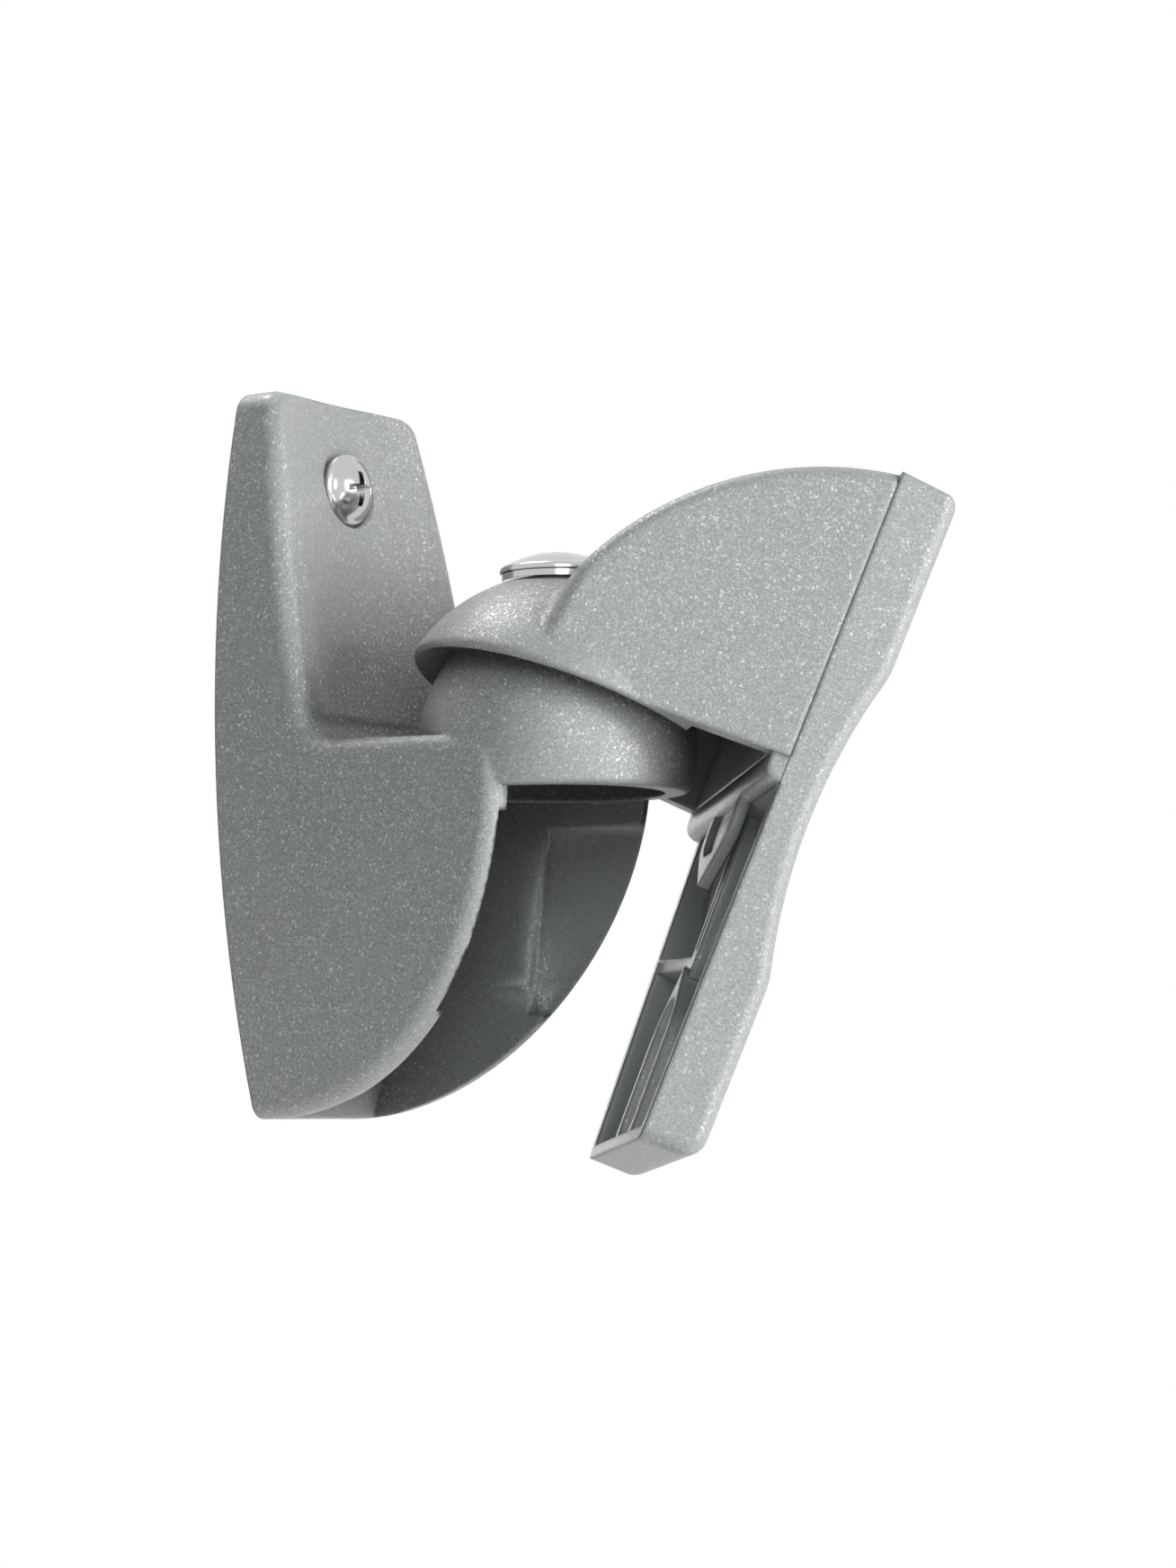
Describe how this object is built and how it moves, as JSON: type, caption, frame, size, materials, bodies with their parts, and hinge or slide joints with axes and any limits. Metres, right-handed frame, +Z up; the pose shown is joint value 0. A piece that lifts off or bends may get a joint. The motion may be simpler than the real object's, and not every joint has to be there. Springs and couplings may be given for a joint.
{
  "type": "speaker wall bracket",
  "caption": "Moulded wall bracket for a small speaker: a wall part with a ball, and a clamped arm with a slotted mounting plate that pans and tilts.",
  "frame": {"origin": "on the wall plane, straight behind the centre of the ball", "axes": "+Z up, +Y into the wall, +X to the right as seen from the room"},
  "size_m": [0.0753, 0.0928, 0.1039],
  "materials": {
    "moulding": "satin silver grey with fine metallic flakes",
    "plated_steel": "bright plated"
  },
  "bodies": {
    "wall_part": {"wall_bracket": "moulding", "upper_wall_screw": "plated_steel", "lower_wall_screw": "plated_steel", "clamp_nut": "plated_steel", "clamp_screw": "plated_steel"},
    "saddle": {"saddle_washer": "plated_steel"},
    "arm": {"arm_hood": "moulding", "speaker_plate": "moulding", "plate_screws": "plated_steel"}
  },
  "joints": [
    {"name": "arm_pan", "type": "hinge", "parent": "wall_part", "child": "saddle", "pos_m": [0, -0.0412, 0], "axis": [0, 0, 1], "range_deg": [-104, 1]},
    {"name": "arm_tilt", "type": "hinge", "parent": "saddle", "child": "arm", "pos_m": [0, -0.0412, 0], "axis": [0.7193, 0.6947, 0], "range_deg": [-21.5, 4.5]}
  ]
}
